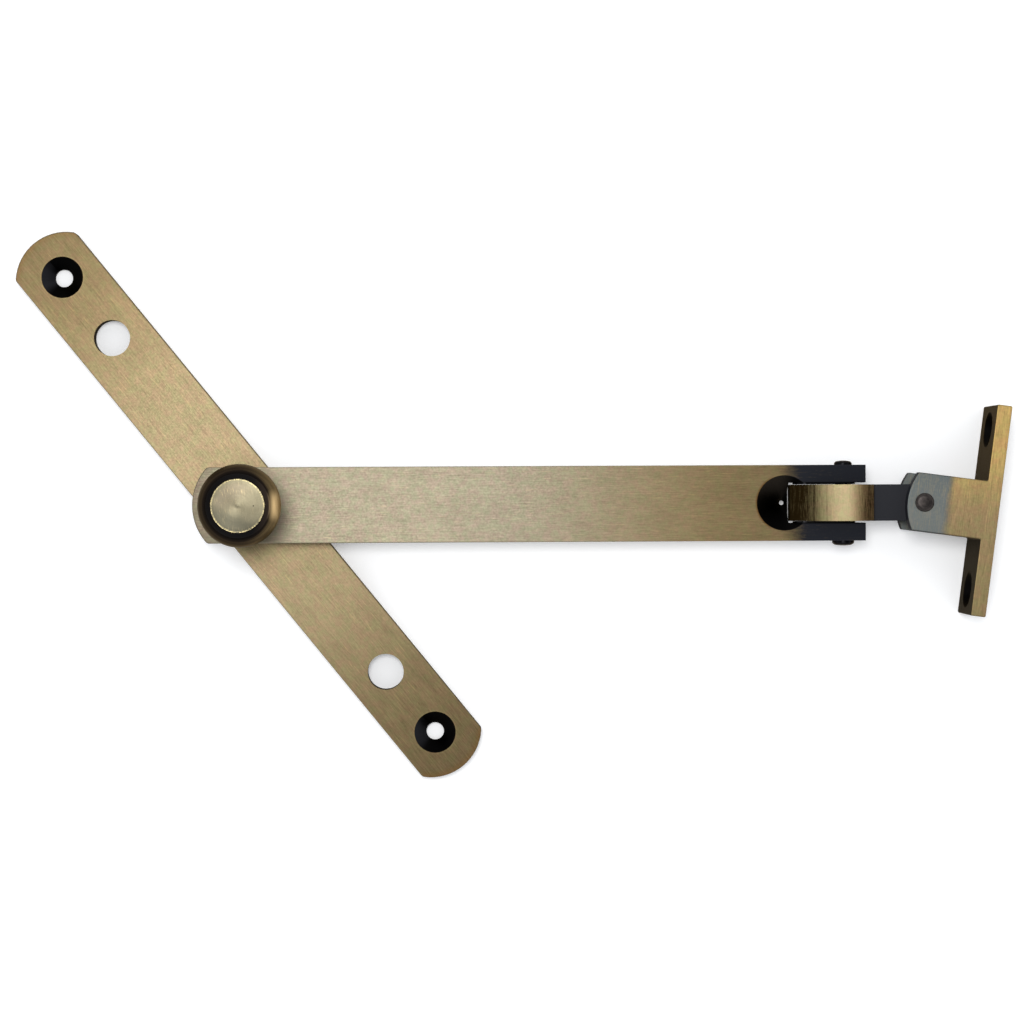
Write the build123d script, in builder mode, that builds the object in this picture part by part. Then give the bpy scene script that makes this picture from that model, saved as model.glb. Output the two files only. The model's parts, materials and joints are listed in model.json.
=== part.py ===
from build123d import *
import os
from math import cos, radians, sin, sqrt

# Friction stay hinge, in millimetres.
#
# The frame follows the base plate: +X along the plate, +Z up, and the origin on
# the pivot's axis at the plate's underside. The arm is swung from +X by
# ARM_SWING, and the sash bracket is turned back from the arm by SASH_SWIVEL.

os.makedirs("parts", exist_ok=True)

# ---------------------------------------------------------------- dimensions

# Rest pose, in degrees
ARM_SWING = 51.0
SASH_SWIVEL = -7.5

# Clearances
FACE_GAP = 0.05  # between flat faces that slide on each other
PIN_GAP = 0.05  # radial, between a pin and the part that turns on it

# Base plate, 3/4 in bar
PLATE_LENGTH = 168.6
PLATE_WIDTH = 19.05
PLATE_THICKNESS = 4.0
PLATE_END_RADIUS = 12.6
PLATE_SCREW_SPACING = 146.6
PLATE_SCREW_RADIUS = 2.2
PLATE_SINK_RADIUS = 5.2
PLATE_HOLE_SPACING = 107.6
PLATE_HOLE_RADIUS = 4.5
CORNER_ROUNDING = 1.3  # where a bar's rounded end meets its sides
EDGE_BREAK = 0.25

# Pivot stud
STUD_HEAD_RADIUS = 6.0
STUD_HEAD_DEPTH = 0.3  # how far the head lies inside the plate's underside
SHANK_RADIUS = 4.0
KEYED_RADIUS = 3.5
KEY_FLAT = 2.8  # from the axis to the flat on the keyed stretch
THREAD_RADIUS = 3.0
THREAD_PITCH = 1.0
STUD_TOP = 27.8

# Washers and springs on the stud
FRICTION_WASHER_THICKNESS = 0.8
LOWER_WASHER_RADIUS = 8.8
UPPER_WASHER_RADIUS = 7.4
THRUST_WASHER_RADIUS = 7.4
THRUST_WASHER_THICKNESS = 1.0
SPRING_INNER_RADIUS = 3.7
SPRING_OUTER_RADIUS = 6.6
SPRING_THICKNESS = 0.5
SPRING_CONE = 0.3  # how much higher one rim stands than the other

# Arm, 3/4 in x 1/4 in bar
ARM_THICKNESS = 6.35
ARM_WIDTH = 18.8
ARM_BACK = 13.4  # from the pivot to the rounded end
ARM_BACK_RADIUS = 13.9
ARM_REACH = 153.2  # from the pivot to the fork's ends
FORK_ROUNDING = 0.8
BUSH_RADIUS = 5.0
FORK_RIVET_AT = 148.0
SLOT_WIDTH = 10.0
SLOT_END_RADIUS = 13.85  # of the curved end, round the transverse rivet
RECESS_AT = 133.0
RECESS_RADIUS = 6.9

# Transverse rivet and its shims
CROSS_SHANK_RADIUS = 1.95
CROSS_HEAD_RADIUS = 2.75
CROSS_HEAD_HEIGHT = 1.3
PEENED_HEAD_RADIUS = 2.2
PEENED_HEAD_HEIGHT = 1.1
SHIM_LENGTH = 15.6
SHIM_END_RADIUS = 3.0
SHIM_THICKNESS = 0.4

# Link
LINK_WIDTH = 9.0
KNUCKLE_RADIUS = 28.0
KNUCKLE_HALF_HEIGHT = 6.8
KNUCKLE_PEAK = 2.3  # from the transverse rivet, towards the bracket
NOSE_REACH = 13.7
NOSE_START = 13.5  # where the knuckle's arcs end and the nose begins
STEP_AT = 6.8
NECK_HALF_HEIGHT = 5.0
SWIVEL_AT = 18.85  # from the transverse rivet to the swivel rivet

# Sash bracket
NECK_WIDTH = 14.4
EAR_REACH = 4.2
EAR_END_RADIUS = 14.5
CLEVIS_HEIGHT = 10.3
CLEVIS_DEPTH_AT = 5.8
FOOT_AT = 14.9
FOOT_THICKNESS = 3.7
FOOT_LENGTH = 52.4
FOOT_SCREW_SPACING = 40.2
FOOT_SCREW_RADIUS = 2.1
FOOT_SINK_RADIUS = 4.5
BRACKET_ROUNDING = 0.4

# Swivel rivet
SWIVEL_SHANK_RADIUS = 1.8
SWIVEL_HEAD_RADIUS = 2.3
SWIVEL_HEAD_HEIGHT = 1.05
SWIVEL_TAIL_RADIUS = 2.7

# Knob
RIM_RADIUS = 10.0
RIM_HEIGHT = 30.0
BUN_RADIUS = 4.6
LEDGE_HEIGHT = 34.0
KNOB_FOOT_RADIUS = 7.0
KNOB_FOOT_HEIGHT = 1.6
WAIST_RADIUS = 5.6
WAIST_HEIGHT = 20.2
CAP_RADIUS = 6.4
CAP_TOP = 35.0
CAP_DOME = 0.12
SPIGOT_RADIUS = 4.5
SPIGOT_LENGTH = 2.6
KNOB_CAVITY_RADIUS = 4.3
KNOB_TURNS = 1.5  # from clamped to free
STOP_GAP = 0.3  # left under the stop screw's head when the knob is right up
STOP_HEAD_RADIUS = 3.9
STOP_HEAD_HEIGHT = 1.7
STOP_SHANK_RADIUS = 1.5
STOP_SHANK_LENGTH = 6.0

# ------------------------------------------------------------ worked-out sizes

arm_bottom = PLATE_THICKNESS + FRICTION_WASHER_THICKNESS + FACE_GAP
arm_top = arm_bottom + ARM_THICKNESS
mid_height = arm_bottom + ARM_THICKNESS / 2
bracket_depth = 2 * mid_height
thrust_bottom = arm_top + FRICTION_WASHER_THICKNESS + FACE_GAP
thrust_top = thrust_bottom + THRUST_WASHER_THICKNESS
spring_bottom = thrust_top + FACE_GAP
spring_middle = spring_bottom + SPRING_THICKNESS + SPRING_CONE
spring_top = spring_middle + SPRING_THICKNESS + SPRING_CONE
knob_bottom = spring_top + FACE_GAP
knob_lift = KNOB_TURNS * THREAD_PITCH
cavity_floor = STUD_TOP - knob_lift - STOP_GAP
spigot_bottom = LEDGE_HEIGHT - SPIGOT_LENGTH


def direction(degrees):
    """Unit vector in the XY plane, turned from +X."""
    return (cos(radians(degrees)), sin(radians(degrees)), 0)


def flat_plane(origin, degrees):
    """Horizontal plane whose local x is turned from +X."""
    return Plane(origin=origin, x_dir=direction(degrees), z_dir=(0, 0, 1))


def side_plane(origin, degrees):
    """Upright plane: local x is turned from +X, and local y is up."""
    return Plane(origin=origin, x_dir=direction(degrees), z_dir=direction(degrees - 90))


sash_angle = ARM_SWING + SASH_SWIVEL
arm_plane = flat_plane((0, 0, 0), ARM_SWING)
fork_rivet_point = arm_plane.from_local_coords((FORK_RIVET_AT, 0, mid_height))
swivel_point = arm_plane.from_local_coords((FORK_RIVET_AT + SWIVEL_AT, 0, 0))
sash_plane = flat_plane(swivel_point, sash_angle)
link_side = side_plane(fork_rivet_point, ARM_SWING)


def sagitta(radius, half_width):
    """How far an arc of this radius bulges between two points."""
    return radius - sqrt(radius**2 - half_width**2)


def save(builder, name):
    builder.part.label = name
    export_step(builder.part, f"parts/{name}.step")


# ------------------------------------------------------------------ base plate

half_length = PLATE_LENGTH / 2
half_width = PLATE_WIDTH / 2
plate_corner = half_length - sagitta(PLATE_END_RADIUS, half_width)
stud_sink_radius = STUD_HEAD_RADIUS + STUD_HEAD_DEPTH

with BuildPart() as base_plate:
    with BuildSketch() as plate_outline:
        with BuildLine():
            Line((-plate_corner, half_width), (plate_corner, half_width))
            ThreePointArc((plate_corner, half_width), (half_length, 0), (plate_corner, -half_width))
            Line((plate_corner, -half_width), (-plate_corner, -half_width))
            ThreePointArc((-plate_corner, -half_width), (-half_length, 0), (-plate_corner, half_width))
        make_face()
        fillet(plate_outline.vertices(), CORNER_ROUNDING)
    extrude(amount=PLATE_THICKNESS)
    fillet(base_plate.faces().sort_by(Axis.Z)[-1].outer_wire().edges(), EDGE_BREAK)
    with Locations((0, 0, PLATE_THICKNESS)):
        with GridLocations(PLATE_SCREW_SPACING, 0, 2, 1):
            CounterSinkHole(PLATE_SCREW_RADIUS, PLATE_SINK_RADIUS, counter_sink_angle=90)
        with GridLocations(PLATE_HOLE_SPACING, 0, 2, 1):
            Hole(PLATE_HOLE_RADIUS)
    with Locations(Plane.XY.rotated((180, 0, 0))):
        CounterSinkHole(SHANK_RADIUS, stud_sink_radius, counter_sink_angle=90)
save(base_plate, "base_plate")

# ----------------------------------------------------------------- pivot stud

stud_cone_top = STUD_HEAD_DEPTH + STUD_HEAD_RADIUS - SHANK_RADIUS
shoulder_height = arm_top - FACE_GAP
tap_depth = STOP_SHANK_LENGTH + 0.8

with BuildPart() as pivot_stud:
    with BuildSketch(Plane.XZ):
        with BuildLine():
            Polyline(
                (0, STUD_HEAD_DEPTH),
                (STUD_HEAD_RADIUS, STUD_HEAD_DEPTH),
                (SHANK_RADIUS, stud_cone_top),
                (SHANK_RADIUS, shoulder_height),
                (KEYED_RADIUS, shoulder_height),
                (KEYED_RADIUS, knob_bottom - FACE_GAP),
                (THREAD_RADIUS, knob_bottom - FACE_GAP),
                (THREAD_RADIUS, STUD_TOP),
                (0, STUD_TOP),
                close=True,
            )
        make_face()
    revolve(axis=Axis.Z)
    with BuildSketch(Plane.XY.offset(shoulder_height)):
        with Locations((KEY_FLAT, 0)):
            Rectangle(KEYED_RADIUS, 2 * KEYED_RADIUS, align=(Align.MIN, Align.CENTER))
    extrude(amount=thrust_top - shoulder_height, mode=Mode.SUBTRACT)
    with Locations((0, 0, STUD_TOP)):
        Hole(STOP_SHANK_RADIUS, tap_depth)
save(pivot_stud, "pivot_stud")

# -------------------------------------------------------- washers and springs


def ring(name, bottom, thickness, outer_radius, inner_radius):
    """Flat washer on the stud."""
    with BuildPart() as washer:
        with BuildSketch(Plane.XY.offset(bottom)):
            Circle(outer_radius)
            Circle(inner_radius, mode=Mode.SUBTRACT)
        extrude(amount=thickness)
    save(washer, name)


ring(
    "lower_friction_washer",
    PLATE_THICKNESS,
    FRICTION_WASHER_THICKNESS,
    LOWER_WASHER_RADIUS,
    SHANK_RADIUS + PIN_GAP,
)
ring(
    "upper_friction_washer",
    arm_top,
    FRICTION_WASHER_THICKNESS,
    UPPER_WASHER_RADIUS,
    KEYED_RADIUS + PIN_GAP,
)

with BuildPart() as thrust_washer:
    with BuildSketch(Plane.XY.offset(thrust_bottom)):
        Circle(THRUST_WASHER_RADIUS)
        Circle(KEYED_RADIUS + PIN_GAP, mode=Mode.SUBTRACT)
        with Locations((KEY_FLAT + PIN_GAP, 0)):
            Rectangle(2.0, 2 * KEYED_RADIUS, align=(Align.MIN, Align.CENTER))
    extrude(amount=THRUST_WASHER_THICKNESS)
save(thrust_washer, "thrust_washer")


def disc_spring(name, outer_rim, inner_rim):
    """Conical spring washer. The two heights are those of its rims' undersides."""
    with BuildPart() as spring:
        with BuildSketch(Plane.XZ):
            with BuildLine():
                Polyline(
                    (SPRING_INNER_RADIUS, inner_rim),
                    (SPRING_OUTER_RADIUS, outer_rim),
                    (SPRING_OUTER_RADIUS, outer_rim + SPRING_THICKNESS),
                    (SPRING_INNER_RADIUS, inner_rim + SPRING_THICKNESS),
                    close=True,
                )
            make_face()
        revolve(axis=Axis.Z)
    save(spring, name)


disc_spring("lower_disc_spring", spring_bottom, spring_bottom + SPRING_CONE)
disc_spring("upper_disc_spring", spring_middle + SPRING_CONE, spring_middle)

# ------------------------------------------------------------------------ arm

arm_half_width = ARM_WIDTH / 2
arm_corner = -ARM_BACK + sagitta(ARM_BACK_RADIUS, arm_half_width)

with BuildPart() as arm:
    with BuildSketch(arm_plane.offset(arm_bottom)) as arm_outline:
        with BuildLine():
            ThreePointArc((arm_corner, -arm_half_width), (-ARM_BACK, 0), (arm_corner, arm_half_width))
            Polyline(
                (arm_corner, arm_half_width),
                (ARM_REACH, arm_half_width),
                (ARM_REACH, -arm_half_width),
                (arm_corner, -arm_half_width),
            )
        make_face()
        arm_corners = arm_outline.vertices().sort_by(Axis((0, 0, 0), direction(ARM_SWING)))
        fillet(arm_corners[:2], CORNER_ROUNDING)
        fillet(arm_corners[2:], FORK_ROUNDING)
    extrude(amount=ARM_THICKNESS)
    fillet(arm.faces().filter_by(Axis.Z).edges(), EDGE_BREAK)
    with BuildSketch(arm_plane.offset(arm_bottom)):
        Circle(BUSH_RADIUS)
    extrude(amount=ARM_THICKNESS, mode=Mode.SUBTRACT)
    with BuildSketch(link_side):
        Circle(SLOT_END_RADIUS)
        Rectangle(ARM_REACH, 2 * SLOT_END_RADIUS, align=(Align.MIN, Align.CENTER))
    extrude(amount=SLOT_WIDTH / 2, both=True, mode=Mode.SUBTRACT)
    with BuildSketch(side_plane(arm_plane.from_local_coords((RECESS_AT, 0, arm_top)), ARM_SWING)):
        with BuildLine():
            Polyline(
                (0, 0),
                (RECESS_RADIUS, 0),
                (RECESS_RADIUS - ARM_THICKNESS, -ARM_THICKNESS),
                (0, -ARM_THICKNESS),
                close=True,
            )
        make_face()
    revolve(axis=Axis(arm_plane.from_local_coords((RECESS_AT, 0, 0)), (0, 0, 1)), mode=Mode.SUBTRACT)
    with BuildSketch(link_side):
        Circle(CROSS_SHANK_RADIUS)
    extrude(amount=ARM_WIDTH, both=True, mode=Mode.SUBTRACT)
save(arm, "arm")

with BuildPart() as arm_bush:
    with BuildSketch(Plane.XY.offset(arm_bottom)):
        Circle(BUSH_RADIUS)
        Circle(SHANK_RADIUS + PIN_GAP, mode=Mode.SUBTRACT)
    extrude(amount=ARM_THICKNESS)
save(arm_bush, "arm_bush")

# ------------------------------------------------- transverse rivet and shims


def domed_head(radius, height, base, outwards):
    """Half profile of a rivet head that stands on base and points outwards."""
    rim = base + outwards * 0.4 * height
    crown = base + outwards * height
    shoulder = base + outwards * 0.87 * height
    with BuildSketch() as profile:
        with BuildLine():
            Polyline((0, crown), (0, base), (radius, base), (radius, rim))
            top = TangentArc((0, crown), (0.7 * radius, shoulder), tangent=(1, 0))
            TangentArc(top @ 1, (radius, rim), tangent=top % 1)
        make_face()
    return profile.sketch


factory_head = domed_head(CROSS_HEAD_RADIUS, CROSS_HEAD_HEIGHT, arm_half_width, 1)
peened_head = domed_head(PEENED_HEAD_RADIUS, PEENED_HEAD_HEIGHT, -arm_half_width, -1)
rivet_across = Plane(
    origin=fork_rivet_point, x_dir=direction(ARM_SWING), z_dir=(0, 0, -1)
)  # local x along the arm, local y across it, towards the factory-formed head

with BuildPart() as transverse_rivet:
    with BuildSketch(rivet_across):
        Rectangle(CROSS_SHANK_RADIUS, ARM_WIDTH, align=(Align.MIN, Align.CENTER))
        add(factory_head)
        add(peened_head)
    revolve(axis=Axis(fork_rivet_point, direction(ARM_SWING - 90)))
save(transverse_rivet, "transverse_rivet")

for side, name in ((1, "right_shim"), (-1, "left_shim")):
    shim_start = side * (SLOT_WIDTH / 2 - SHIM_THICKNESS)
    with BuildPart() as shim:
        with BuildSketch(link_side.offset(shim_start)):
            with Locations((SHIM_END_RADIUS - SHIM_LENGTH / 2, 0)):
                SlotOverall(SHIM_LENGTH, 2 * SHIM_END_RADIUS)
            Circle(CROSS_SHANK_RADIUS + PIN_GAP, mode=Mode.SUBTRACT)
        extrude(amount=side * SHIM_THICKNESS)
    save(shim, name)

# ----------------------------------------------------------------------- link

arc_centre_height = KNUCKLE_HALF_HEIGHT - KNUCKLE_RADIUS


def knuckle_height(x):
    """Half height of the knuckle at a distance from the transverse rivet."""
    return arc_centre_height + sqrt(KNUCKLE_RADIUS**2 - (x - KNUCKLE_PEAK) ** 2)


nose_height = knuckle_height(-NOSE_START)
step_height = knuckle_height(STEP_AT)
tongue_radius = LINK_WIDTH / 2
tongue_end = SWIVEL_AT + tongue_radius

with BuildPart() as link:
    with BuildSketch(link_side):
        with BuildLine():
            ThreePointArc(
                (-NOSE_START, nose_height),
                (KNUCKLE_PEAK, KNUCKLE_HALF_HEIGHT),
                (STEP_AT, step_height),
            )
            Polyline(
                (STEP_AT, step_height),
                (STEP_AT, NECK_HALF_HEIGHT),
                (tongue_end, NECK_HALF_HEIGHT),
                (tongue_end, -NECK_HALF_HEIGHT),
                (STEP_AT, -NECK_HALF_HEIGHT),
                (STEP_AT, -step_height),
            )
            ThreePointArc(
                (STEP_AT, -step_height),
                (KNUCKLE_PEAK, -KNUCKLE_HALF_HEIGHT),
                (-NOSE_START, -nose_height),
            )
            ThreePointArc(
                (-NOSE_START, -nose_height), (-NOSE_REACH, 0), (-NOSE_START, nose_height)
            )
        make_face()
    extrude(amount=LINK_WIDTH / 2, both=True)
    with BuildSketch(flat_plane(fork_rivet_point, ARM_SWING).offset(-KNUCKLE_HALF_HEIGHT)):
        with Locations((SWIVEL_AT, 0)):
            Circle(tongue_radius)
            Rectangle(3 * SWIVEL_AT, LINK_WIDTH, align=(Align.MAX, Align.CENTER))
    extrude(amount=2 * KNUCKLE_HALF_HEIGHT, mode=Mode.INTERSECT)
    with BuildSketch(link_side):
        Circle(CROSS_SHANK_RADIUS + PIN_GAP)
    extrude(amount=LINK_WIDTH, both=True, mode=Mode.SUBTRACT)
    with BuildSketch(flat_plane(swivel_point, ARM_SWING)):
        Circle(SWIVEL_SHANK_RADIUS + PIN_GAP)
    extrude(amount=bracket_depth, mode=Mode.SUBTRACT)
save(link, "link")

# --------------------------------------------------------------- sash bracket

neck_half_width = NECK_WIDTH / 2
ear_corner = -EAR_REACH + sagitta(EAR_END_RADIUS, neck_half_width)
foot_outer = FOOT_AT + FOOT_THICKNESS
foot_half_length = FOOT_LENGTH / 2
inner_face = Plane(
    origin=sash_plane.from_local_coords((FOOT_AT, 0, mid_height)),
    x_dir=direction(sash_angle + 90),
    z_dir=direction(sash_angle + 180),
)

with BuildPart() as sash_bracket:
    with BuildSketch(sash_plane) as bracket_outline:
        with BuildLine():
            ThreePointArc((ear_corner, -neck_half_width), (-EAR_REACH, 0), (ear_corner, neck_half_width))
            Polyline(
                (ear_corner, neck_half_width),
                (FOOT_AT, neck_half_width),
                (FOOT_AT, foot_half_length),
                (foot_outer, foot_half_length),
                (foot_outer, -foot_half_length),
                (FOOT_AT, -foot_half_length),
                (FOOT_AT, -neck_half_width),
                (ear_corner, -neck_half_width),
            )
        make_face()
        fillet(bracket_outline.vertices(), BRACKET_ROUNDING)
    extrude(amount=bracket_depth)
    fillet(sash_bracket.faces().filter_by(Axis.Z).edges(), EDGE_BREAK)
    with BuildSketch(side_plane(sash_plane.from_local_coords((0, 0, mid_height)), sash_angle)):
        with Locations((CLEVIS_DEPTH_AT, 0)):
            Rectangle(2 * NECK_WIDTH, CLEVIS_HEIGHT, align=(Align.MAX, Align.CENTER))
    extrude(amount=NECK_WIDTH, both=True, mode=Mode.SUBTRACT)
    with Locations(inner_face):
        with GridLocations(FOOT_SCREW_SPACING, 0, 2, 1):
            CounterSinkHole(FOOT_SCREW_RADIUS, FOOT_SINK_RADIUS, 2 * FOOT_THICKNESS, 90)
    with Locations(Plane(origin=swivel_point, x_dir=(1, 0, 0), z_dir=(0, 0, -1))):
        CounterSinkHole(SWIVEL_SHANK_RADIUS, SWIVEL_TAIL_RADIUS, 2 * bracket_depth, 90)
save(sash_bracket, "sash_bracket")

tail_height = SWIVEL_TAIL_RADIUS - SWIVEL_SHANK_RADIUS
swivel_head = domed_head(SWIVEL_HEAD_RADIUS, SWIVEL_HEAD_HEIGHT, bracket_depth, 1)

with BuildPart() as swivel_rivet:
    with BuildSketch(side_plane(swivel_point, ARM_SWING)):
        with BuildLine():
            Polyline(
                (0, 0),
                (SWIVEL_TAIL_RADIUS, 0),
                (SWIVEL_SHANK_RADIUS, tail_height),
                (SWIVEL_SHANK_RADIUS, bracket_depth),
                (0, bracket_depth),
                close=True,
            )
        make_face()
        add(swivel_head)
    revolve(axis=Axis(swivel_point, (0, 0, 1)))
save(swivel_rivet, "swivel_rivet")

# ----------------------------------------------------------------------- knob

foot_top = knob_bottom + KNOB_FOOT_HEIGHT
bun_centre = RIM_RADIUS - BUN_RADIUS
bun_edge = bun_centre + sqrt(BUN_RADIUS**2 - (LEDGE_HEIGHT - RIM_HEIGHT) ** 2)
bun_middle = BUN_RADIUS * sqrt(0.5)

with BuildPart() as knob:
    with BuildSketch(Plane.XZ):
        with BuildLine():
            Polyline(
                (0, LEDGE_HEIGHT),
                (0, knob_bottom),
                (KNOB_FOOT_RADIUS - EDGE_BREAK, knob_bottom),
                (KNOB_FOOT_RADIUS, knob_bottom + EDGE_BREAK),
                (KNOB_FOOT_RADIUS, foot_top),
            )
            flare = ThreePointArc(
                (KNOB_FOOT_RADIUS, foot_top),
                (WAIST_RADIUS, WAIST_HEIGHT),
                (RIM_RADIUS - 1.4, RIM_HEIGHT - 2.6),
            )
            ThreePointArc(
                flare @ 1, (RIM_RADIUS - 0.4, RIM_HEIGHT - 1.4), (RIM_RADIUS, RIM_HEIGHT)
            )
            ThreePointArc(
                (RIM_RADIUS, RIM_HEIGHT),
                (bun_centre + bun_middle, RIM_HEIGHT + bun_middle),
                (bun_edge, LEDGE_HEIGHT),
            )
            Line((bun_edge, LEDGE_HEIGHT), (0, LEDGE_HEIGHT))
        make_face()
    revolve(axis=Axis.Z)
    with BuildSketch(Plane.XY.offset(knob_bottom)):
        Circle(THREAD_RADIUS + PIN_GAP)
    extrude(amount=LEDGE_HEIGHT - knob_bottom, mode=Mode.SUBTRACT)
    with BuildSketch(Plane.XY.offset(cavity_floor)):
        Circle(KNOB_CAVITY_RADIUS)
    extrude(amount=LEDGE_HEIGHT - cavity_floor, mode=Mode.SUBTRACT)
    with BuildSketch(Plane.XY.offset(spigot_bottom)):
        Circle(SPIGOT_RADIUS)
    extrude(amount=SPIGOT_LENGTH, mode=Mode.SUBTRACT)
save(knob, "knob")

with BuildPart() as knob_cap:
    with BuildSketch(Plane.XZ):
        with BuildLine():
            Polyline(
                (0, CAP_TOP),
                (0, spigot_bottom),
                (SPIGOT_RADIUS, spigot_bottom),
                (SPIGOT_RADIUS, LEDGE_HEIGHT),
                (CAP_RADIUS, LEDGE_HEIGHT),
                (CAP_RADIUS, CAP_TOP - CAP_DOME),
            )
            TangentArc((0, CAP_TOP), (CAP_RADIUS, CAP_TOP - CAP_DOME), tangent=(1, 0))
        make_face()
    revolve(axis=Axis.Z)
save(knob_cap, "knob_cap")

with BuildPart() as stop_screw:
    with BuildSketch(Plane.XY.offset(STUD_TOP - STOP_SHANK_LENGTH)):
        Circle(STOP_SHANK_RADIUS)
    extrude(amount=STOP_SHANK_LENGTH)
    with BuildSketch(Plane.XY.offset(STUD_TOP)):
        Circle(STOP_HEAD_RADIUS)
    extrude(amount=STOP_HEAD_HEIGHT)
    with BuildSketch(Plane.XY.offset(STUD_TOP + STOP_HEAD_HEIGHT)):
        Rectangle(3 * STOP_HEAD_RADIUS, 1.0)
    extrude(amount=-STOP_HEAD_HEIGHT / 2, mode=Mode.SUBTRACT)
save(stop_screw, "stop_screw")
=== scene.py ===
import json
import random
from math import atan2, cos, exp, pi, sin

import bmesh
import bpy
from mathutils import Matrix, Vector


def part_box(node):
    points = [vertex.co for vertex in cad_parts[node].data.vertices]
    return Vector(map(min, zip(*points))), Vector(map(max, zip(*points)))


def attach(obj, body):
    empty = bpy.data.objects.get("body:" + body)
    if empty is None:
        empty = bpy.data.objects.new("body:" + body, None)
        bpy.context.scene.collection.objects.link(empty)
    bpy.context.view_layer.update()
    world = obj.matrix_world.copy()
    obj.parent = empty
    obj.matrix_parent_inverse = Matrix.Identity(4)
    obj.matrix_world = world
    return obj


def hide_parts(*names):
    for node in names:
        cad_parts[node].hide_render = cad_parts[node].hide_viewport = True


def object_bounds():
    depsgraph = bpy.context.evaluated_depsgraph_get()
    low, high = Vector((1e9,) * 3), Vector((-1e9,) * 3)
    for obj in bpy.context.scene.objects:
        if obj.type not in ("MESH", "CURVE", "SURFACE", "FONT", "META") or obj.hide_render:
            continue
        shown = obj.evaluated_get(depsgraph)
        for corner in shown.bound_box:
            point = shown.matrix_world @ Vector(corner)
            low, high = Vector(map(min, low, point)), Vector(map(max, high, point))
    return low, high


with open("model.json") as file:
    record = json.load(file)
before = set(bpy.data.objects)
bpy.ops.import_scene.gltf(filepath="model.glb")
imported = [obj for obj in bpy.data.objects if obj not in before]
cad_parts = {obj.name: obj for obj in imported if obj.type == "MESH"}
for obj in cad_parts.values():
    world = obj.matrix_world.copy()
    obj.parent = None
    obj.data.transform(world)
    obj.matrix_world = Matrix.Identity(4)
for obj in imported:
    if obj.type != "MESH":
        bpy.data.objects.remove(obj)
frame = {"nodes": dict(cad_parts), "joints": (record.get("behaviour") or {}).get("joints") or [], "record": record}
cad_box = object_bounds()

MM = 0.001

# Places that the looks depend on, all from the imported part. Patterns are laid out in
# millimetres in each part's own frame: x along it, y across it, and z up.
nodes = frame["nodes"]
joints = {joint["name"]: joint for joint in frame["joints"]}
mounts = {mount["name"]: mount for mount in frame["record"]["mounts"]}
fork_rivet = Vector(joints["link_tilt"]["pos_m"])
swivel = Vector(joints["sash_swivel"]["pos_m"])
sash_axis = Vector(mounts["sash_face"]["axis"])
arm_angle = atan2(fork_rivet.y, fork_rivet.x)
sash_angle = atan2(sash_axis.y, sash_axis.x)

# Dimensions of the part that its finish follows, in millimetres
SCREW_AT = mounts["frame_screws"]["dims"]["spacing_x_mm"] / 2
HOLE_AT = mounts["plain_holes"]["dims"]["spacing_x_mm"] / 2
HOLE_RADIUS = mounts["plain_holes"]["dims"]["hole_r_mm"]
SINK_RADIUS = 5.2
PLATE_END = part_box("base_plate")[1].x / MM
PLATE_END_RADIUS = 12.6
ARM_BACK = 13.4
ARM_BACK_RADIUS = 13.9
RECESS_AT = 133.0
RECESS_RADIUS = 6.9
SLOT_HALF_WIDTH = 5.0
SLOT_FROM = 130.0
KNUCKLE_STEP_AT = 6.8
FOOT_SCREW_AT = 20.1
FOOT_SINK_RADIUS = 4.5
FOOT_INSIDE_FROM = 10.0
cap_low, cap_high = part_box("knob_cap")
CAP_RADIUS = (cap_high.x - cap_low.x) / 2 / MM
CAP_TOP = cap_high.z / MM
CAP_BOTTOM = cap_low.z / MM
CAP_FLANGE = 1.0
CAP_SPIGOT_RADIUS = 4.5
KNOB_RIM = CAP_TOP - 5.0

# Marks on the knob, by their distance from its axis towards the arm at rest: a painted glint on its ring and a pit
# in its cap
GLINT_AT = 8.7
GLINT_STRETCH = 0.7746
PIT_AT = 3.8

# The photographer stands over the stay, with the arm level across the picture
PICTURE_TURN = 0.8856
CAMERA_HEIGHT = 0.600
CAMERA_FOOT = Vector((0.0317, 0.0439, 0.0))
CAMERA_TILT = Vector((0.0187, 0.0098, -1.0))
picture_right = Vector((cos(PICTURE_TURN), sin(PICTURE_TURN), 0))
picture_up = Vector((-sin(PICTURE_TURN), cos(PICTURE_TURN), 0))

# Brass where the brushing reached it, linear, with painted highlight, lit, shaded and glint colours among it
GOLD = (0.25, 0.188, 0.094)
HIGHLIGHT_TAN = (0.25, 0.22, 0.158)
HIGHLIGHT_BRASS = (0.27, 0.215, 0.123)
YELLOW_BRASS = (0.385, 0.265, 0.10)
LIT_CROWN_BRASS = (0.33, 0.27, 0.153)
SHADED_NOSE_BRASS = (0.30, 0.25, 0.125)
SHADED_SHOULDER_BRASS = (0.33, 0.22, 0.115)
KNOB_BRASS = (0.34, 0.235, 0.10)
GLINT_BRASS = (0.86, 0.60, 0.29)

# The dark finish that is left elsewhere, with painted shade, shadow and reflection colours among it
BROWN_PATINA = (0.036, 0.024, 0.013)
ORANGE_BROWN = (0.16, 0.075, 0.02)
OLIVE = (0.028, 0.019, 0.009)
SHADOWED_OLIVE = (0.017, 0.0135, 0.009)
BLUE_BLACK = (0.022, 0.0235, 0.029)
NECK_BLACK = (0.020, 0.0205, 0.0235)
SHADED_NOSE_BLACK = (0.011, 0.0065, 0.002)
KNOB_BLACK = (0.018, 0.0125, 0.009)
BLACK_PATINA = (0.0032, 0.0030, 0.0030)
GREY_PATINA = (0.100, 0.110, 0.107)
SLATE_PATINA = (0.066, 0.079, 0.081)
# Painted reflections on one side of the countersinks and of the arm's recess
SINK_SHEEN = (0.030, 0.030, 0.034)
RECESS_SHEEN = (0.030, 0.024, 0.019)

# The knob's cap is bare brass, turned, with a thinner film of dirt
CAP_LIGHT = (0.196, 0.172, 0.112)
CAP_DARK = (0.150, 0.134, 0.086)
CAP_ROSY = (0.205, 0.166, 0.118)
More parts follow.
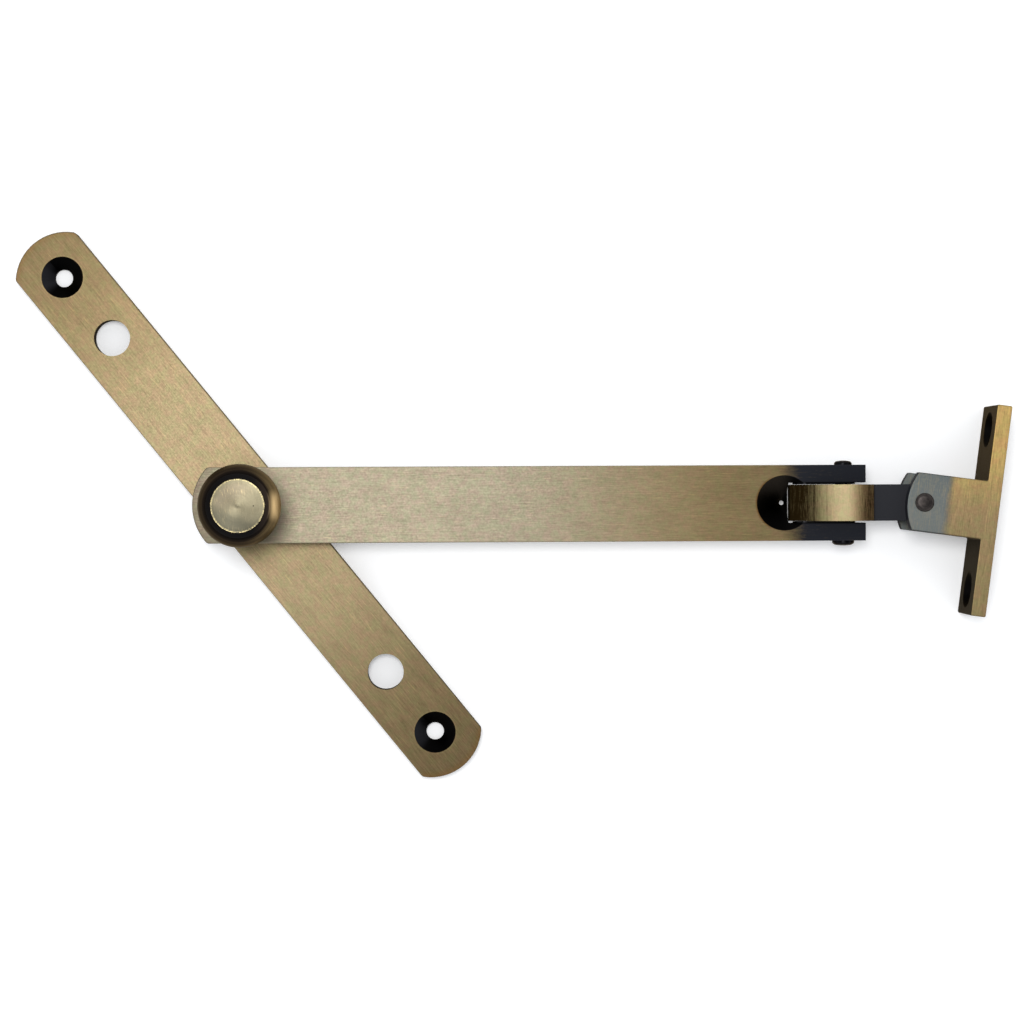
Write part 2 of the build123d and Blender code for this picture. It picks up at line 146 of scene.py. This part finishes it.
# Painted shade on one side of the cap's face
CAP_SHADE = (0.070, 0.066, 0.047)
CAP_HAIR_BRIGHT = (0.50, 0.38, 0.20)
CAP_HAIR_DARK = (0.09, 0.075, 0.045)
CAP_BURR = (0.46, 0.38, 0.19)

# Reflectance at grazing angles, less than white, for a waxed and darkened metal
GRAZING_TINT = (0.62, 0.58, 0.52, 1.0)

# Weights in a patina sum: what the flat sides keep, what the broken edges lose, and
# enough to hide every scratch
WALL_PATINA = 0.5
EDGE_POLISH = 0.3
SOLID_PATINA = 1.7


# ------------------------------------------------------------ material graphs


class Field:
    """A number that varies over a surface. Arithmetic on fields adds nodes."""

    def __init__(self, graph, socket):
        self.graph = graph
        self.socket = socket

    def __add__(self, other):
        return self.graph.math("ADD", self, other)

    __radd__ = __add__

    def __sub__(self, other):
        return self.graph.math("SUBTRACT", self, other)

    def __rsub__(self, other):
        return self.graph.math("SUBTRACT", other, self)

    def __mul__(self, other):
        return self.graph.math("MULTIPLY", self, other)

    __rmul__ = __mul__

    def __abs__(self):
        return self.graph.math("ABSOLUTE", self)

    def maximum(self, other):
        return self.graph.math("MAXIMUM", self, other)

    def hypot(self, other):
        return self.graph.math("SQRT", self * self + other * other)

    def clamped(self):
        return self.graph.math("ADD", self, 0.0, clamp=True)

    def step(self, low, high):
        """0 below low and 1 above high, with a smooth rise between them."""
        node = self.graph.add("ShaderNodeMapRange", interpolation_type="SMOOTHSTEP")
        self.graph.feed(node.inputs["Value"], self)
        ends = (low, high, 0.0, 1.0)
        if low > high:
            ends = (high, low, 1.0, 0.0)
        for name, value in zip(("From Min", "From Max", "To Min", "To Max"), ends):
            node.inputs[name].default_value = value
        return Field(self.graph, node.outputs["Result"])


class Graph:
    """The nodes of one material, laid out in the frame of the part that wears it."""

    def __init__(self, name, origin=(0, 0, 0), angle=0.0):
        self.material = bpy.data.materials.new(name)
        self.material.use_nodes = True
        self.tree = self.material.node_tree
        self.shader = self.tree.nodes["Principled BSDF"]
        coordinates = self.add("ShaderNodeTexCoord")
        place = self.add("ShaderNodeMapping", vector_type="TEXTURE")
        place.inputs["Location"].default_value = origin
        place.inputs["Rotation"].default_value = (0, 0, angle)
        place.inputs["Scale"].default_value = (MM, MM, MM)
        self.tree.links.new(place.inputs["Vector"], coordinates.outputs["Object"])
        self.position = place.outputs["Vector"]
        self.x, self.y, self.z = self.split(self.position)
        turn = self.add("ShaderNodeMapping", vector_type="VECTOR")
        turn.inputs["Rotation"].default_value = (0, 0, -angle)
        self.tree.links.new(turn.inputs["Vector"], coordinates.outputs["Normal"])
        self.normal_x, self.normal_y, self.normal_z = self.split(turn.outputs["Vector"])
        self.angle = angle

    def add(self, kind, **settings):
        node = self.tree.nodes.new(kind)
        for name, value in settings.items():
            setattr(node, name, value)
        return node

    def feed(self, socket, value):
        """Puts a field, an output socket or a constant into a node's input."""
        if isinstance(value, Field):
            value = value.socket
        if isinstance(value, bpy.types.NodeSocket):
            self.tree.links.new(socket, value)
        elif isinstance(value, tuple) and socket.type == "RGBA":
            socket.default_value = (*value, 1.0)
        else:
            socket.default_value = value

    def split(self, vector):
        node = self.add("ShaderNodeSeparateXYZ")
        self.tree.links.new(node.inputs["Vector"], vector)
        return [Field(self, node.outputs[axis]) for axis in "XYZ"]

    def join(self, x, y, z):
        node = self.add("ShaderNodeCombineXYZ")
        for socket, value in zip(node.inputs, (x, y, z)):
            self.feed(socket, value)
        return node.outputs["Vector"]

    def math(self, operation, first, second=0.0, clamp=False):
        node = self.add("ShaderNodeMath", operation=operation, use_clamp=clamp)
        self.feed(node.inputs[0], first)
        self.feed(node.inputs[1], second)
        return Field(self, node.outputs["Value"])

    def distance(self, x, y):
        """Distance from the upright axis through a point."""
        return (self.x - x).hypot(self.y - y)

    def wall(self):
        """1 on the upright sides and 0 on the flat faces."""
        return abs(self.normal_z).step(0.85, 0.55)

    def polished_edge(self):
        """1 on the broken edges between the flat faces and the sides."""
        upright = abs(self.normal_z)
        return upright.step(0.99, 0.88) * upright.step(0.3, 0.55)

    def arm_axes(self):
        """Distances along and across the arm at rest, for parts on the pivot's axis."""
        along = self.x * cos(arm_angle) + self.y * sin(arm_angle)
        across = self.y * cos(arm_angle) - self.x * sin(arm_angle)
        return along, across

    def noise(self, vector, scale=1.0, detail=2.0, roughness=0.5):
        node = self.add("ShaderNodeTexNoise", noise_dimensions="3D")
        self.tree.links.new(node.inputs["Vector"], vector)
        node.inputs["Scale"].default_value = scale
        node.inputs["Detail"].default_value = detail
        node.inputs["Roughness"].default_value = roughness
        return Field(self, node.outputs["Fac"])

    def grain(self, along, pitch, length, detail=2.0):
        """Streaks along "x", "y" or "round", of a given width and length in millimetres."""
        if along == "round":
            radius = self.distance(0.0, 0.0)
            drift = self.x * 0.7 + self.y * 0.5
            vector = self.join(
                radius * (1 / pitch), self.z * (1 / pitch), drift * (1 / length)
            )
        else:
            scale = [1 / pitch] * 3
            scale["xy".index(along)] = 1 / length
            vector = self.join(self.x * scale[0], self.y * scale[1], self.z * scale[2])
        return self.noise(vector, detail=detail)

    def mix(self, factor, first, second):
        node = self.add("ShaderNodeMix", data_type="RGBA")
        self.feed(node.inputs["Factor"], factor)
        self.feed(node.inputs[6], first)
        self.feed(node.inputs[7], second)
        return node.outputs[2]

    def tinted(self, colour, red, green, blue):
        """The colour with each channel scaled."""
        node = self.add("ShaderNodeMix", data_type="RGBA", blend_type="MULTIPLY")
        self.feed(node.inputs["Factor"], 1.0)
        self.feed(node.inputs[6], colour)
        self.feed(node.inputs[7], (red, green, blue))
        return node.outputs[2]

    def bump(self, *layers):
        """Chains bumps, each a height field and its full height in millimetres."""
        normal = None
        for height, depth in layers:
            node = self.add("ShaderNodeBump")
            node.inputs["Distance"].default_value = depth * MM
            self.feed(node.inputs["Height"], height)
            if normal:
                self.tree.links.new(node.inputs["Normal"], normal)
            normal = node.outputs["Normal"]
        self.tree.links.new(self.shader.inputs["Normal"], normal)

    def groove_tangent(self, along):
        """Turns the gloss across grooves that run along "x", "y" or "round"."""
        if along == "round":
            local = self.join(self.y * -1.0, self.x, 0.0)
        else:
            turn = self.angle + (0.0 if along == "x" else pi / 2)
            local = self.join(cos(turn), sin(turn), 0.0)
        to_world = self.add(
            "ShaderNodeVectorTransform",
            vector_type="VECTOR",
            convert_from="OBJECT",
            convert_to="WORLD",
        )
        self.tree.links.new(to_world.inputs["Vector"], local)
        geometry = self.add("ShaderNodeNewGeometry")
        across = self.add("ShaderNodeVectorMath", operation="CROSS_PRODUCT")
        self.tree.links.new(across.inputs[0], geometry.outputs["Normal"])
        self.tree.links.new(across.inputs[1], to_world.outputs["Vector"])
        self.tree.links.new(self.shader.inputs["Tangent"], across.outputs["Vector"])

    def finish(self, colour, roughness, metallic=1.0, anisotropy=0.0):
        """Fills in the shader. What is the same all over is set on its own socket."""
        self.feed(self.shader.inputs["Base Color"], colour)
        self.feed(self.shader.inputs["Roughness"], roughness)
        self.feed(self.shader.inputs["Metallic"], metallic)
        self.shader.inputs["Specular Tint"].default_value = GRAZING_TINT
        self.shader.inputs["Anisotropic"].default_value = anisotropy
        return self.material


def wear(node, material):
    """Gives a CAD node its material."""
    mesh = nodes[node].data
    mesh.materials.clear()
    mesh.materials.append(material)


# ----------------------------------------------------------- antique brass


def antique_brass(graph, along, brass, patina, patina_tone, scratching=1.0):
    """Brass that was blackened, then brushed along its grain until it showed through.

    brass is the colour where the brushing reached, or painted highlight, and patina, from
    0 to 1, is how much dark finish, or painted shade, is left. Noises about 0.5 move it up
    and down: brushed scratches of three sizes, specks, clouds, and single deeper cuts.
    """
    fine = graph.grain(along, pitch=0.13, length=1.6, detail=1.0)
    medium = graph.grain(along, pitch=0.26, length=5.0, detail=1.0)
    broad = graph.grain(along, pitch=2.2, length=40.0)
    cut = graph.grain(along, pitch=0.22, length=4.5, detail=0.5)
    cloud = graph.noise(graph.position, scale=0.16, detail=3.0)
    speck = graph.noise(graph.position, scale=2.2)
    hue = graph.noise(graph.position, scale=0.45, detail=4.0, roughness=0.7)
    bright_cut = cut.step(0.66, 0.74)
    dark_cut = cut.step(0.33, 0.25)

    scratch = (fine - 0.5) * 0.35 + (medium - 0.5) * 0.42 + (broad - 0.5) * 0.14
    scratch = scratch + (speck - 0.5) * 0.22 + (cloud - 0.5) * 0.26
    scratch = scratch + dark_cut * 0.14 - bright_cut * 0.08
    left = (patina + scratch * scratching).clamped()

    rosy = graph.tinted(brass, 1.06, 0.965, 1.0)
    greenish = graph.tinted(brass, 0.955, 1.03, 0.95)
    bared = graph.mix(hue.step(0.36, 0.64), greenish, rosy)
    bared = graph.mix(bright_cut * 0.4, bared, graph.tinted(brass, 1.35, 1.25, 1.05))
    colour = graph.mix(left, bared, patina_tone)
    graph.bump((medium, 0.004), (fine, 0.003))
    graph.groove_tangent(along)
    return graph.finish(colour, 0.47 + (speck - 0.5) * 0.14, anisotropy=0.8)


def plate_material():
    graph = Graph("plate_brass")
    far = abs(graph.x)
    wall = graph.wall()

    from_end = PLATE_END_RADIUS - (far - (PLATE_END - PLATE_END_RADIUS)).hypot(graph.y)
    end_edge = from_end.step(2.2, 0.0) * far.step(PLATE_END - 7.0, PLATE_END - 4.0)
    from_screw = (far - SCREW_AT).hypot(graph.y)
    from_hole = (far - HOLE_AT).hypot(graph.y)
    sink = from_screw.step(SINK_RADIUS + 0.02, SINK_RADIUS - 0.2)
    sink_rim = from_screw.step(SINK_RADIUS + 0.4, SINK_RADIUS + 0.1)
    hole = from_hole.step(HOLE_RADIUS + 0.05, HOLE_RADIUS - 0.02) * wall
    facing_arm = graph.normal_x * cos(arm_angle) + graph.normal_y * sin(arm_angle)
    # The countersinks' sides that face the arm are lighter grey: a painted reflection
    painted_sheen = facing_arm.step(0.35, 0.72) * sink * 0.75

    # Paler brass in the middle: a painted highlight
    brass = graph.mix(far.step(20.0, 80.0), HIGHLIGHT_BRASS, GOLD)
    patina = 0.12 + wall * WALL_PATINA - graph.polished_edge() * EDGE_POLISH
    # More dark finish towards the ends, most at the +x end: painted shade where the lamp's highlight falls off
    patina = patina + far.step(25.0, 84.0) * 0.14 + graph.x.step(25.0, 80.0) * 0.14
    patina = patina + end_edge * 0.22 - sink_rim * 0.12
    patina = patina + sink.maximum(hole) * SOLID_PATINA

    tone = graph.mix(end_edge * (1.0 - wall) * 0.8, BROWN_PATINA, ORANGE_BROWN)
    tone = graph.mix(sink.maximum(hole), tone, BLACK_PATINA)
    tone = graph.mix(painted_sheen, tone, SINK_SHEEN)
    return antique_brass(graph, "x", brass, patina, tone)


def arm_material():
    graph = Graph("arm_brass", angle=arm_angle)
    wall = graph.wall()

    waver = graph.noise(graph.position, scale=0.25) * 3.0
    fork = (graph.x + waver + graph.y * 0.12).step(132.0, 140.4)
    from_back = ARM_BACK_RADIUS - graph.distance(ARM_BACK_RADIUS - ARM_BACK, 0.0)
    back_edge = from_back.step(3.0, 0.2) * graph.x.step(-4.0, -8.0)
    from_recess = graph.distance(RECESS_AT, 0.0)
    recess = from_recess.step(RECESS_RADIUS + 0.02, RECESS_RADIUS - 0.2)
    recess_rim = from_recess.step(RECESS_RADIUS + 0.5, RECESS_RADIUS + 0.05)
    recess_rim = recess_rim * graph.x.step(131.0, 128.0)
    slot = abs(graph.y).step(SLOT_HALF_WIDTH + 0.3, SLOT_HALF_WIDTH)
    slot = slot * graph.x.step(SLOT_FROM, SLOT_FROM + 2.0)
    cavity = recess.maximum(slot)
    # One side of the recess's cone is lighter: a painted reflection
    painted_sheen = (graph.normal_x * 0.7 - graph.normal_y * 0.7).step(0.25, 0.7) * recess

    # Paler brass towards the pivot, turning gold towards the fork: a painted highlight
    brass = graph.mix(graph.x.step(60.0, 125.0), HIGHLIGHT_TAN, GOLD)
    brass = graph.mix(recess_rim * 0.7, brass, ORANGE_BROWN)
    patina = 0.14 + wall * WALL_PATINA
    # The rise from 90 to 130 mm is painted shade where the lamp's highlight falls off; the back edge and the fork
    # are darker finish
    patina = patina + graph.x.step(90.0, 130.0) * 0.10 + back_edge * 0.28 + fork * 0.84
    patina = patina - graph.polished_edge() * EDGE_POLISH * (1.0 - fork)
    patina = patina + cavity * SOLID_PATINA

    tone = graph.mix(fork, BROWN_PATINA, BLUE_BLACK)
    tone = graph.mix(cavity, tone, graph.mix(painted_sheen, BLACK_PATINA, RECESS_SHEEN))
    return antique_brass(graph, "x", brass, patina, tone)


def link_material():
    graph = Graph("link_brass", origin=fork_rivet, angle=arm_angle)
    # The knuckle's barrel is lighter over the rivet and darker towards its nose and its shoulder: painted shade of
    # its curve
    nose_shade = graph.x.step(0.0, -11.0)
    shoulder_shade = graph.x.step(-0.4, KNUCKLE_STEP_AT - 1.4)
    neck = graph.x.step(KNUCKLE_STEP_AT - 0.25, KNUCKLE_STEP_AT + 0.05)
    cheek = abs(graph.normal_y).step(0.5, 0.85)
    file_marks = None
    for at, strength in ((-7.9, 0.4), (-4.9, 0.35)):
        mark = abs(graph.x - at).step(0.4, 0.0) * strength
        file_marks = mark if file_marks is None else file_marks.maximum(mark)

    brass = graph.mix(nose_shade, LIT_CROWN_BRASS, SHADED_NOSE_BRASS)
    brass = graph.mix(shoulder_shade, brass, SHADED_SHOULDER_BRASS)
    patina = nose_shade + shoulder_shade * 0.9 + file_marks * 0.4 + cheek * 0.8 + neck
    tone = graph.mix(neck.maximum(cheek), SHADED_NOSE_BLACK, NECK_BLACK)
    return antique_brass(graph, "y", brass, patina, tone, scratching=0.6)


def sash_material():
    graph = Graph("sash_brass", origin=swivel, angle=sash_angle)
    wall = graph.wall()

    waver = graph.noise(graph.position, scale=0.3) * 1.1
    ears = (graph.x + waver).step(8.2, 5.2)
    ear_tip = graph.x.step(-2.6, -4.6)
    foot = graph.x.step(FOOT_INSIDE_FROM, FOOT_INSIDE_FROM + 2.0)
    inside = graph.normal_x.step(-0.5, -0.85) * foot
    from_screw = (abs(graph.y) - FOOT_SCREW_AT).hypot(graph.z)
    sink = from_screw.step(FOOT_SINK_RADIUS + 0.03, FOOT_SINK_RADIUS - 0.2) * foot
    left_end = graph.y.step(-4.0, 16.0)
    centre = abs(graph.y).step(12.0, 7.0)

    brass = graph.mix(left_end, GOLD, YELLOW_BRASS)
    patina = 0.17 + wall * WALL_PATINA + ears * 0.75 + ear_tip * 0.1 + inside * 0.6
    patina = patina + centre * 0.05 + graph.x.step(4.0, 8.0) * 0.08
    patina = patina - graph.polished_edge() * EDGE_POLISH * (1.0 - ears)
    patina = patina + sink * SOLID_PATINA

    ear_top = graph.mix(left_end, GREY_PATINA, SLATE_PATINA)
    tone = graph.mix(ears * (1.0 - wall), BROWN_PATINA, ear_top)
    tone = graph.mix(ears * wall, tone, BLUE_BLACK)
    # The inner face is darker olive towards the -y end: a painted shadow of the neck
    tone = graph.mix(inside, tone, graph.mix(left_end, SHADOWED_OLIVE, OLIVE))
    tone = graph.mix(sink, tone, BLACK_PATINA)
    return antique_brass(graph, "y", brass, patina, tone)


# ------------------------------------------------------------- turned pieces


def knob_material():
    graph = Graph("knob_patina")
    radius = graph.distance(0.0, 0.0)
    along_arm, across_arm = graph.arm_axes()
    tool = graph.grain("round", pitch=0.22, length=14.0)
    band = graph.grain("round", pitch=1.3, length=30.0)

    head = graph.z.step(KNOB_RIM - 3.0, KNOB_RIM)
    top = graph.z.step(KNOB_RIM, KNOB_RIM + 1.5)
    # Lighter round the widest rim: a painted highlight
    rim_highlight = radius.step(8.9, 10.0) * graph.z.step(KNOB_RIM - 3.0, KNOB_RIM - 0.5)
    # A painted glint on the ring's side towards the arm, longer round the rim, with a wider painted glow round it
    from_glint = (along_arm - GLINT_AT).hypot(across_arm * GLINT_STRETCH)
    glint_glow = from_glint.step(11.0, 1.0) * radius.step(7.4, 8.8)
    glint = from_glint.step(3.4, 0.0) * radius.step(7.2, 8.6) * head
    # The dark ring round the cap is painted shade, as of a groove, thinner on the arm's side where the painted
    # glint is
    shade_thinning = 1.0 - along_arm.step(3.0, 8.0) * 0.6
    ledge = radius.step(8.6, 7.2) * top * shade_thinning
    ring = radius.step(9.2, 7.3) * top * shade_thinning

    left = 0.97 - rim_highlight * 0.06 - glint_glow * 0.22 - glint * 0.3
    left = left + (tool - 0.5) * 0.2 + (band - 0.5) * 0.26
    left = (left + ledge * 0.5).clamped()
    colour = graph.mix(left, KNOB_BRASS, graph.mix(ring, KNOB_BLACK, BLACK_PATINA))
    colour = graph.mix(glint * 0.62 * (0.7 + tool * 0.6), colour, GLINT_BRASS)
    graph.bump((band, 0.01), (tool, 0.004))
    graph.groove_tangent("round")
    return graph.finish(colour, 0.34 + left * 0.06, anisotropy=0.5)


def cap_material():
    graph = Graph("faced_brass")
    radius = graph.distance(0.0, 0.0)
    along_arm, across_arm = graph.arm_axes()
    tool = graph.grain("round", pitch=0.2, length=10.0)
    cloud = graph.noise(graph.position, scale=0.35, detail=3.0)
    fleck = graph.noise(graph.position, scale=3.0)
    # Hair lines across the arm, about 0.2 mm wide and 2 mm long
    hair_lines = graph.join(along_arm * 6.0 + across_arm * 0.9, across_arm * 0.45, 0.0)
    hair = graph.noise(hair_lines)

    mottle = (cloud * 0.5 + tool * 0.25 + fleck * 0.25).step(0.34, 0.66)
    colour = graph.mix(mottle, CAP_DARK, CAP_LIGHT)
    rosy = (across_arm - along_arm * 0.7).step(-1.0, 5.0) * radius.step(6.2, 4.5)
    colour = graph.mix(rosy * 0.5, colour, CAP_ROSY)
    # One side of the face is much darker: painted shade
    shaded_side = (along_arm * -0.35 - across_arm).step(0.3, 4.3)
    colour = graph.mix(shaded_side * 0.87, colour, CAP_SHADE)
    bright_hair = hair.step(0.58, 0.70) * (0.2 + rosy * 0.8)
    colour = graph.mix(bright_hair * 0.6, colour, CAP_HAIR_BRIGHT)
    colour = graph.mix(hair.step(0.40, 0.30) * 0.35, colour, CAP_HAIR_DARK)
    burr = radius.step(CAP_RADIUS * 0.93, CAP_RADIUS * 0.985) * fleck.step(0.42, 0.56)
    colour = graph.mix(burr * 0.85, colour, CAP_BURR)
    from_pit = (along_arm - PIT_AT).hypot(across_arm)
    colour = graph.mix(from_pit.step(0.2, 0.1), colour, BLACK_PATINA)
    graph.bump((tool, 0.006), (hair, 0.006))
    graph.groove_tangent("round")
    return graph.finish(colour, 0.40 + (tool - 0.5) * 0.15, anisotropy=0.8)


def steel_material(name, light, dark, roughness, origin=(0, 0, 0)):
    """Turned or blackened metal with a mottled tone and fine marks round its axis."""
    graph = Graph(name, origin=origin)
    mottle = graph.noise(graph.position, scale=1.1, detail=3.0)
    marks = graph.grain("round", pitch=0.18, length=8.0)
    colour = graph.mix((mottle * 0.6 + marks * 0.4).step(0.32, 0.68), dark, light)
    graph.bump((mottle, 0.006), (marks, 0.003))
    return graph.finish(colour, roughness + (marks - 0.5) * 0.1, anisotropy=0.3)


def nylon_material():
    graph = Graph("friction_nylon")
    grain = graph.noise(graph.position, scale=6.0, detail=3.0)
    colour = graph.mix(grain, (0.012, 0.012, 0.013), (0.030, 0.029, 0.028))
    graph.bump((grain, 0.01))
    return graph.finish(colour, 0.45 + grain * 0.2, metallic=0.0)


# ------------------------------------------------------------ the knob's cap

RINGS = 66
SEGMENTS = 192

# Its shape in millimetres: a low dome with a pip in the middle, the facing tool's feed
# marks, a slightly sunk edge, and small chips out of the rim
DOME = 0.10
PIP = 0.12
PIP_RADIUS = 0.38
FEED_DEPTH = 0.004
FEED_PITCH = 0.3
SUNK_EDGE = 0.02
SUNK_FROM = 0.9 * CAP_RADIUS
EDGE_BREAK = 0.05
EDGE_BEVEL = 0.12
CHIP_DEPTH = 0.10
CHIPS_OVER = 0.55
SHARP_ANGLE = 0.6

# The face's outer rim lies this far below the top of the CAD cap, so that the face's
# middle stays inside the CAD box
FACE_DROP = 0.24


def face_rise(radius):
    """Height of the faced top above its outer rim: dome, pip and tool marks."""
    dome = DOME * (1 - (radius / CAP_RADIUS) ** 2)
    pip = PIP * exp(-((radius / PIP_RADIUS) ** 2))
    feed_mark = FEED_DEPTH * sin(2 * pi * radius / FEED_PITCH)
    edge = -SUNK_EDGE if radius > SUNK_FROM else 0.0
    return dome + pip + feed_mark + edge


def cap_mesh():
    """The cap with its facing marks, its middle pip and the burr round its edge."""
    draw = random.Random(4)
    chips = [CHIP_DEPTH * max(0.0, draw.random() - CHIPS_OVER) for _ in range(SEGMENTS)]
    turns = [2 * pi * k / SEGMENTS for k in range(SEGMENTS)]
    rim = CAP_TOP - FACE_DROP
    mesh = bmesh.new()

    def ring(radii, height):
        return [
            mesh.verts.new((radius * cos(turn) * MM, radius * sin(turn) * MM, height * MM))
            for radius, turn in zip(radii, turns)
        ]

    middle = mesh.verts.new((0, 0, (rim + DOME + PIP) * MM))
    loops = []
    for i in range(1, RINGS + 1):
        radius = CAP_RADIUS * i / RINGS
        radii = [radius] * SEGMENTS
        if radius > CAP_RADIUS - EDGE_BREAK:
            radii = [radius - chip for chip in chips]
        loops.append(ring(radii, rim + face_rise(radius)))
    for radius, height in (
        (CAP_RADIUS - EDGE_BREAK, rim - EDGE_BEVEL),
        (CAP_RADIUS - EDGE_BREAK, CAP_TOP - CAP_FLANGE),
        (CAP_SPIGOT_RADIUS, CAP_TOP - CAP_FLANGE),
        (CAP_SPIGOT_RADIUS, CAP_BOTTOM),
    ):
        loops.append(ring([radius] * SEGMENTS, height))

    for k in range(SEGMENTS):
        mesh.faces.new((middle, loops[0][k], loops[0][(k + 1) % SEGMENTS]))
    for inner, outer in zip(loops, loops[1:]):
        for k in range(SEGMENTS):
            after = (k + 1) % SEGMENTS
            mesh.faces.new((inner[k], outer[k], outer[after], inner[after]))
    mesh.faces.new(loops[-1][::-1])
    bmesh.ops.recalc_face_normals(mesh, faces=mesh.faces)
    data = bpy.data.meshes.new("knob_cap_faced")
    mesh.to_mesh(data)
    mesh.free()
    data.polygons.foreach_set("use_smooth", [True] * len(data.polygons))
    data.set_sharp_from_angle(angle=SHARP_ANGLE)
    return data


cap = bpy.data.objects.new("knob_cap_faced", cap_mesh())
bpy.context.scene.collection.objects.link(cap)
cap.data.materials.append(cap_material())
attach(cap, "knob")
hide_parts("knob_cap")

# ------------------------------------------------------ materials to the parts

wear("base_plate", plate_material())
wear("arm", arm_material())
wear("link", link_material())
wear("sash_bracket", sash_material())
wear("knob", knob_material())

rivet_black = steel_material(
    "rivet_black", light=(0.010, 0.010, 0.011), dark=(0.0035, 0.0035, 0.004), roughness=0.26
)
rivet_brown = steel_material(
    "rivet_brown",
    light=(0.058, 0.050, 0.046),
    dark=(0.030, 0.026, 0.025),
    roughness=0.38,
    origin=(swivel.x, swivel.y, 0),
)
zinc = steel_material(
    "turned_zinc", light=(0.52, 0.51, 0.49), dark=(0.36, 0.35, 0.34), roughness=0.32
)
bronze = steel_material(
    "bush_bronze", light=(0.52, 0.34, 0.17), dark=(0.36, 0.22, 0.11), roughness=0.34
)
nylon = nylon_material()
for node in ("transverse_rivet", "left_shim", "right_shim"):
    wear(node, rivet_black)
for node in (
    "pivot_stud",
    "stop_screw",
    "thrust_washer",
    "lower_disc_spring",
    "upper_disc_spring",
):
    wear(node, zinc)
for node in ("lower_friction_washer", "upper_friction_washer"):
    wear(node, nylon)
wear("swivel_rivet", rivet_brown)
wear("arm_bush", bronze)

# ---------------------------------------------------------------------- stage

HORIZON_LIGHT = 1.7
ZENITH_LIGHT = 0.45
SKY_TINT = (0.95, 0.97, 1.0, 1.0)
KEY_OFFSET = picture_up * 0.11 - picture_right * 0.055 + Vector((0, 0, 0.80))
KEY_DIAMETER = 0.26
KEY_WATTS = 2.8
FLOOR_HALF_WIDTH = 12.0
FLOOR_GAP = 0.0002
FLOOR_GLOW = 0.15
LENS_MM = 83.8
SENSOR_MM = 36.0
NEAREST = 0.01

# A round lamp looks the same whichever way its top points
KEY_TOP = (0.1, 1, 0.2)

scene = bpy.context.scene
scene.view_settings.view_transform = "Standard"


def floor():
    """A sheet of white paper, far larger than the view, that glows a little."""
    half = FLOOR_HALF_WIDTH
    level = cad_box[0].z - FLOOR_GAP
    corners = [(x * half, y * half, level) for x, y in ((-1, -1), (1, -1), (1, 1), (-1, 1))]
    data = bpy.data.meshes.new("floor")
    data.from_pydata(corners, [], [(0, 1, 2, 3)])
    graph = Graph("pale_floor")
    paper = graph.noise(graph.position, scale=0.02, detail=3.0)
    colour = graph.mix(paper, (0.94, 0.94, 0.94), (0.96, 0.96, 0.96))
    graph.shader.inputs["Emission Color"].default_value = (1, 1, 1, 1)
    graph.shader.inputs["Emission Strength"].default_value = FLOOR_GLOW
    data.materials.append(graph.finish(colour, 0.8, metallic=0.0))

    piece = bpy.data.objects.new("floor", data)
    scene.collection.objects.link(piece)


def look_matrix(location, forward, up):
    """Places something so that it looks along forward, with its top towards up."""
    back = -Vector(forward).normalized()
    right = Vector(up).cross(back).normalized()
    matrix = Matrix((right, back.cross(right), back)).transposed().to_4x4()
    matrix.translation = location
    return matrix


def camera():
    data = bpy.data.cameras.new("camera")
    data.lens = LENS_MM
    data.sensor_width = SENSOR_MM
    data.clip_start = NEAREST
    piece = bpy.data.objects.new("camera", data)
    eye = CAMERA_FOOT + Vector((0, 0, CAMERA_HEIGHT))
    piece.matrix_world = look_matrix(eye, CAMERA_TILT, picture_up)
    scene.collection.objects.link(piece)
    scene.camera = piece


def key_light():
    """A soft lamp, higher than the camera and up and left of it in the picture."""
    data = bpy.data.lights.new("key", "AREA")
    data.shape = "DISK"
    data.size = KEY_DIAMETER
    data.energy = KEY_WATTS
    piece = bpy.data.objects.new("key", data)
    piece.matrix_world = look_matrix(CAMERA_FOOT + KEY_OFFSET, -KEY_OFFSET, KEY_TOP)
    scene.collection.objects.link(piece)


def white_tent():
    """Even light from all round, brightest low down."""
    world = bpy.data.worlds.new("studio")
    world.use_nodes = True
    tree = world.node_tree
    background = tree.nodes["Background"]
    background.inputs["Color"].default_value = SKY_TINT
    direction = tree.nodes.new("ShaderNodeTexCoord")
    split = tree.nodes.new("ShaderNodeSeparateXYZ")
    fall = tree.nodes.new("ShaderNodeMapRange")
    fall.inputs["To Min"].default_value = HORIZON_LIGHT
    fall.inputs["To Max"].default_value = ZENITH_LIGHT
    tree.links.new(split.inputs["Vector"], direction.outputs["Generated"])
    tree.links.new(fall.inputs["Value"], split.outputs["Z"])
    tree.links.new(background.inputs["Strength"], fall.outputs["Result"])
    scene.world = world


floor()
camera()
key_light()
white_tent()
